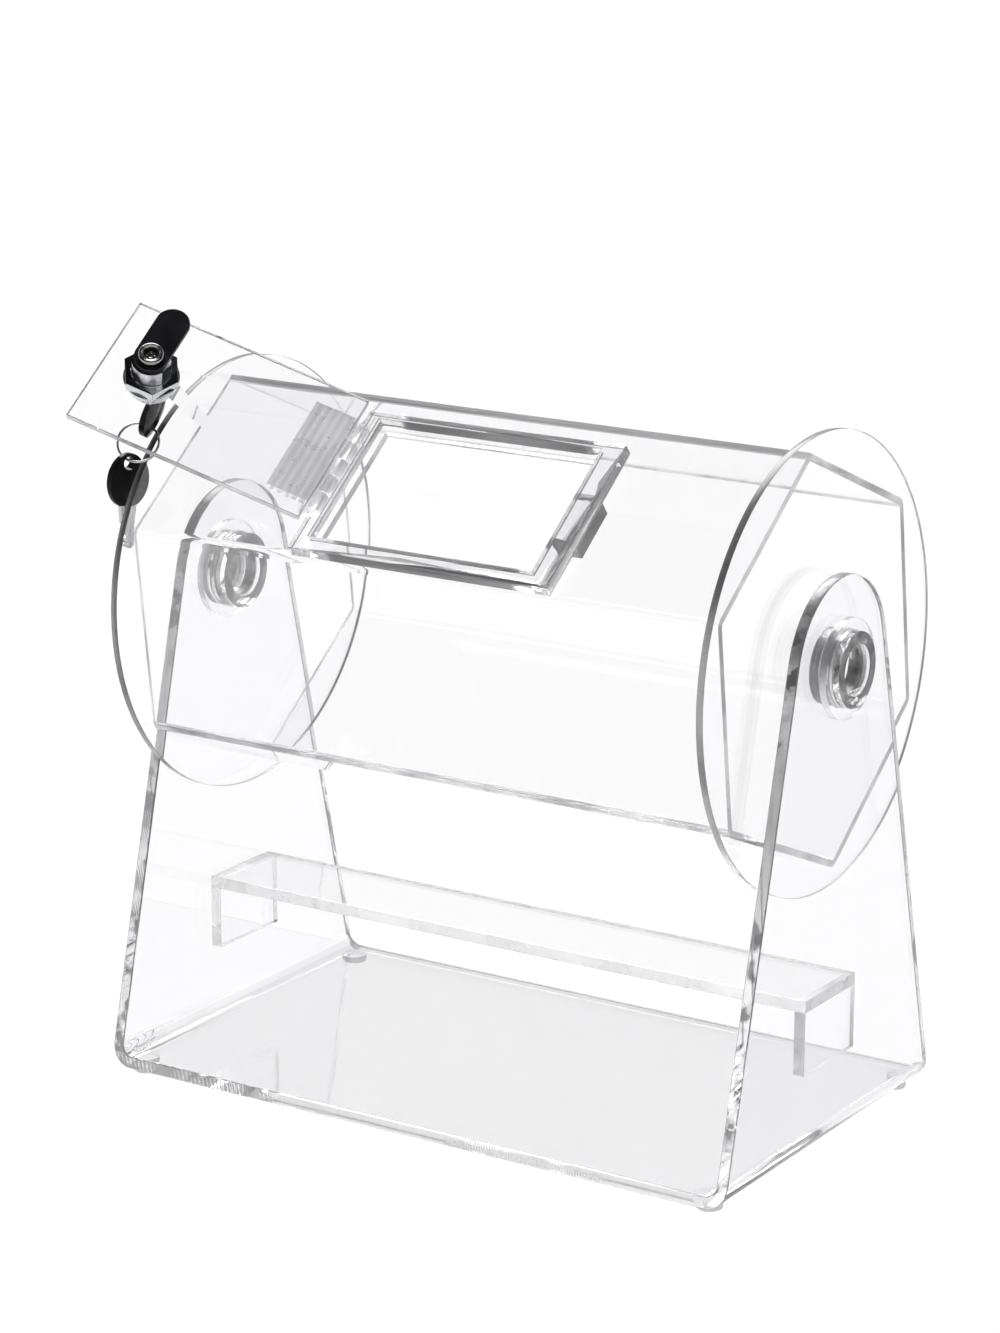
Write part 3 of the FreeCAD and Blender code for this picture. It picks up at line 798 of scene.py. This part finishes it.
def bladeSection(low, high):
    half, groove = bladeLook["halfSheet"], bladeLook["groove"]
    front, back = bladeLook["frontGroove"], bladeLook["backGroove"]
    return [(-half, -low), (half, -low),
            (half, -low * front[0]), (half - groove, -low * front[1]),
            (half - groove, high * front[2]), (half, high * front[3]),
            (half, high), (-half, high),
            (-half, high * back[0]), (groove - half, high * back[1]),
            (groove - half, high * back[2]), (-half, -low * back[3])]


def makeBlade(node, body):
    builder = bmesh.new()
    rings = []
    for up, low, high in bladeStations():
        rings.append([builder.verts.new((across, side, up)) for across, side in
                      bladeSection(low, high)])
    skinRings(builder, rings)
    piece = addPiece(node + "_cut", builder, keyFrames[node], keySteel, body, node)
    bevel = piece.modifiers.new("bevel", "BEVEL")
    bevel.width = bladeLook["bevel"]
    bevel.limit_method = "ANGLE"


makeBlade("key_blade", "door")
makeBlade("spare_key_blade", "spare_key")

screwLook = {
    "start": 0.0154,
    "profile": [(0.0053, 0.0), (0.0053, 0.0016), (0.0051, 0.0021), (0.0047, 0.00250),
                (0.0043, 0.00258), (0.0040, 0.00245), (0.0037, 0.0019), (0.0031, 0.0015),
                (0.0020, 0.00135), (0.0009, 0.0013)],
    "segments": 64,
    "slotLong": 0.0019,
    "slotHalf": 0.00042,
    "slotDeep": 0.0009,
    "slotUp": 0.0013,
    "slotTaper": 0.35,
    "slotTurn": 20,
}


def makeRecess():
    # the cross: two crossed wedges that narrow downwards
    look = screwLook
    cutter = bmesh.new()
    for turn in (0, 90):
        wedge = bmesh.ops.create_cube(cutter, size=1)["verts"]
        for vertex in wedge:
            narrow = look["slotTaper"] if vertex.co.z < 0 else 1.0
            vertex.co = Vector((vertex.co.x * 2 * look["slotLong"] * narrow,
                                vertex.co.y * 2 * look["slotHalf"],
                                look["start"] + look["slotUp"]
                                + vertex.co.z * 2 * look["slotDeep"]))
        bmesh.ops.rotate(cutter, verts=wedge, cent=(0, 0, 0),
                         matrix=Matrix.Rotation(math.radians(turn + look["slotTurn"]), 3, "Z"))
    mesh = bpy.data.meshes.new("recess")
    cutter.to_mesh(mesh)
    cutter.free()
    mesh.transform(lockFrame)
    tool = bpy.data.objects.new("recess", mesh)
    bpy.context.scene.collection.objects.link(tool)
    return tool


def makeScrew():
    # a dished head with a cross recess
    look = screwLook
    builder = bmesh.new()
    steps = [2 * math.pi * step / look["segments"] for step in range(look["segments"])]
    rings = []
    for radius, up in look["profile"]:
        rings.append([builder.verts.new((radius * math.cos(step), radius * math.sin(step),
                                         look["start"] + up)) for step in steps])
    skinRings(builder, rings)
    piece = addPiece("cam_screw_head", builder, lockFrame, plated("darkPlate"), "lock_core",
                     "cam_screw")
    for face in piece.data.polygons:
        face.use_smooth = True
    tool = makeRecess()
    cut = piece.modifiers.new("recess", "BOOLEAN")
    cut.object = tool
    cut.solver = "EXACT"
    cut.use_self = True
    bpy.context.view_layer.update()
    solid = piece.evaluated_get(bpy.context.evaluated_depsgraph_get())
    carved = bpy.data.meshes.new_from_object(solid)
    piece.modifiers.clear()
    piece.data = carved
    bpy.data.objects.remove(tool)


makeScrew()
print("blades and screw made")


# floor and light

floorLook = {
    "half": 14.0,
    "tint": (0.90, 0.90, 0.905),
    "shadeTint": 0.985,
    "grain": (3, 2.0),
    "roughness": 0.7,
}


def makeFloor():
    look = floorLook
    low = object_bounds()[0][2]
    half = look["half"]
    mesh = bpy.data.meshes.new("floor")
    mesh.from_pydata([(-half, -half, low), (half, -half, low), (half, half, low),
                      (-half, half, low)], [], [(0, 1, 2, 3)])
    floor = bpy.data.objects.new("floor", mesh)
    bpy.context.scene.collection.objects.link(floor)
    tree = newMaterial("paleFloor")
    shaded = [look["shadeTint"] * part for part in look["tint"]]
    tint = tree.blend(tree.noise(*look["grain"]), [*look["tint"], 1], [*shaded, 1])
    mesh.materials.append(tree.finishWith({"Base Color": tint, "Roughness": look["roughness"]}))


worldLook = {
    "domeStops": [(0.0, 0.9), (0.3, 0.82), (0.5, 0.7), (0.72, 0.3), (1.0, 0.12)],
    "roomStops": [(0.44, 1.0), (0.60, 0.05)],
    "horizonStops": [(0.05, 1.0), (0.16, 0.0)],
    "roomWay": (0.48, -0.85, 0.22),
}


def makeWorld():
    # a white cove that dims overhead, and on the near side a dark room above its foot
    look = worldLook
    world = bpy.data.worlds.new("softRoom")
    bpy.context.scene.world = world
    tree = Tree(world)
    way = tree.add("ShaderNodeTexCoord", output="Generated")
    height = tree.along(way, upward)
    near = tree.along(way, Vector(look["roomWay"]).normalized())
    room = tree.ramp(near * 0.5 + 0.5, look["roomStops"])  # from -1 to 1, to 0 to 1
    dome = tree.ramp(height, look["domeStops"])
    horizon = tree.ramp(height, look["horizonStops"])
    glow = tree.add("ShaderNodeBackground", None,
                    {"Color": dome * room.larger(horizon), "Strength": 1.0})
    tree.make("ShaderNodeOutputWorld", None, {"Surface": glow})


skyLook = {"power": 3.5, "spread": 40, "turn": (-30, -28, 0)}


def addLamp(name, kind):
    lamp = bpy.data.lights.new(name, kind)
    holder = bpy.data.objects.new(name, lamp)
    bpy.context.scene.collection.objects.link(holder)
    return lamp, holder


def evenLight():
    # a broad light over the whole floor, from high at the back left
    lamp, sky = addLamp("evenLight", "SUN")
    lamp.energy = skyLook["power"]
    lamp.angle = math.radians(skyLook["spread"])
    sky.rotation_euler = [math.radians(turn) for turn in skyLook["turn"]]


fillLooks = {
    "leftFill": {"spot": (-1.7, -1.3, 1.6), "aim": (0, 0, 0.2), "size": 0.7, "power": 1.2},
    "sideFill": {"spot": (1.6, -1.0, 1.0), "aim": (0, 0, 0.15), "size": 0.7, "power": 1.0},
}


def aimed(spot, aim):
    return (Vector(aim) - Vector(spot)).to_track_quat("-Z", "Y")


def softBox(name):
    look = fillLooks[name]
    lamp, box = addLamp(name, "AREA")
    lamp.size = look["size"]
    lamp.energy = look["power"]
    box.location = look["spot"]
    box.rotation_euler = aimed(look["spot"], look["aim"]).to_euler()


makeFloor()
makeWorld()
evenLight()
for name in fillLooks:
    softBox(name)
print("stage lit")


# camera

cameraLook = {
    "spot": (0.8668, -1.3751, 0.6219),
    "aim": (-0.00979, 0.0, 0.17665),
    "lens": 110.14,
    "sensor": 36,
    "farClip": 60,
    "roll": 0.177,
}


def makeCamera():
    look = cameraLook
    lens = bpy.data.cameras.new("view")
    lens.lens = look["lens"]
    lens.sensor_width = look["sensor"]
    lens.clip_end = look["farClip"]
    view = bpy.data.objects.new("view", lens)
    bpy.context.scene.collection.objects.link(view)
    turn = aimed(look["spot"], look["aim"]).to_matrix().to_4x4()
    roll = Matrix.Rotation(math.radians(look["roll"]), 4, "Z")
    view.matrix_world = Matrix.Translation(Vector(look["spot"])) @ turn @ roll
    bpy.context.scene.camera = view


makeCamera()
bpy.context.scene.view_settings.view_transform = "Standard"
bounces = 28  # a ray crosses many sheets before it gets out
light = bpy.context.scene.cycles
light.max_bounces = bounces
light.transmission_bounces = bounces
light.glossy_bounces = bounces
light.transparent_max_bounces = bounces
print("camera set")

bpy.context.view_layer.update()
